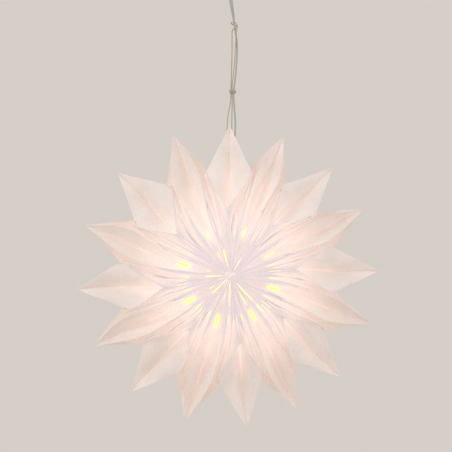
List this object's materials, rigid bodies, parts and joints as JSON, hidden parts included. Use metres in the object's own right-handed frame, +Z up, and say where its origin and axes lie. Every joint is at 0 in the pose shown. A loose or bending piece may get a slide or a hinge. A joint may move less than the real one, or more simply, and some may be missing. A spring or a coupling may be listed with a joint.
{
  "type": "paper star lantern",
  "caption": "Folded and cut paper star lantern with pleated petals round a lit bulb, tied with twine to a flat flex and hung from a ceiling rose",
  "frame": {"origin": "middle of the ceiling rose's flat upper face, where it meets the ceiling", "axes": "+Z up to the ceiling, the star's front looks along -Y, +X to the right seen from the front"},
  "size_m": [0.4432, 0.2222, 0.6906],
  "materials": {
    "star_paper": "matte",
    "thread": "matte",
    "lit_glass": "satin",
    "white_plastic": "satin",
    "brass": "satin",
    "flex_sheath": "satin",
    "twine_fibre": "matte"
  },
  "bodies": {
    "root": {"pocket_01": "star_paper", "pocket_02": "star_paper", "pocket_03": "star_paper", "pocket_04": "star_paper", "pocket_05": "star_paper", "pocket_06": "star_paper", "pocket_07": "star_paper", "pocket_08": "star_paper", "pocket_09": "star_paper", "pocket_10": "star_paper", "pocket_11": "star_paper", "pocket_12": "star_paper", "pocket_13": "star_paper", "pocket_14": "star_paper", "pocket_15": "star_paper", "pocket_16": "star_paper", "front_knot": "thread", "back_knot": "thread", "bulb": "lit_glass", "holder_body": "white_plastic", "holder_cap": "white_plastic", "holder_grip": "white_plastic", "screw_shell": "brass", "centre_contact": "brass", "flex": "flex_sheath", "twine": "twine_fibre", "twine_tie": "twine_fibre", "rose_base": "white_plastic", "rose_cup": "white_plastic", "rose_grip": "white_plastic", "terminal_block": "white_plastic"}
  },
  "joints": []
}
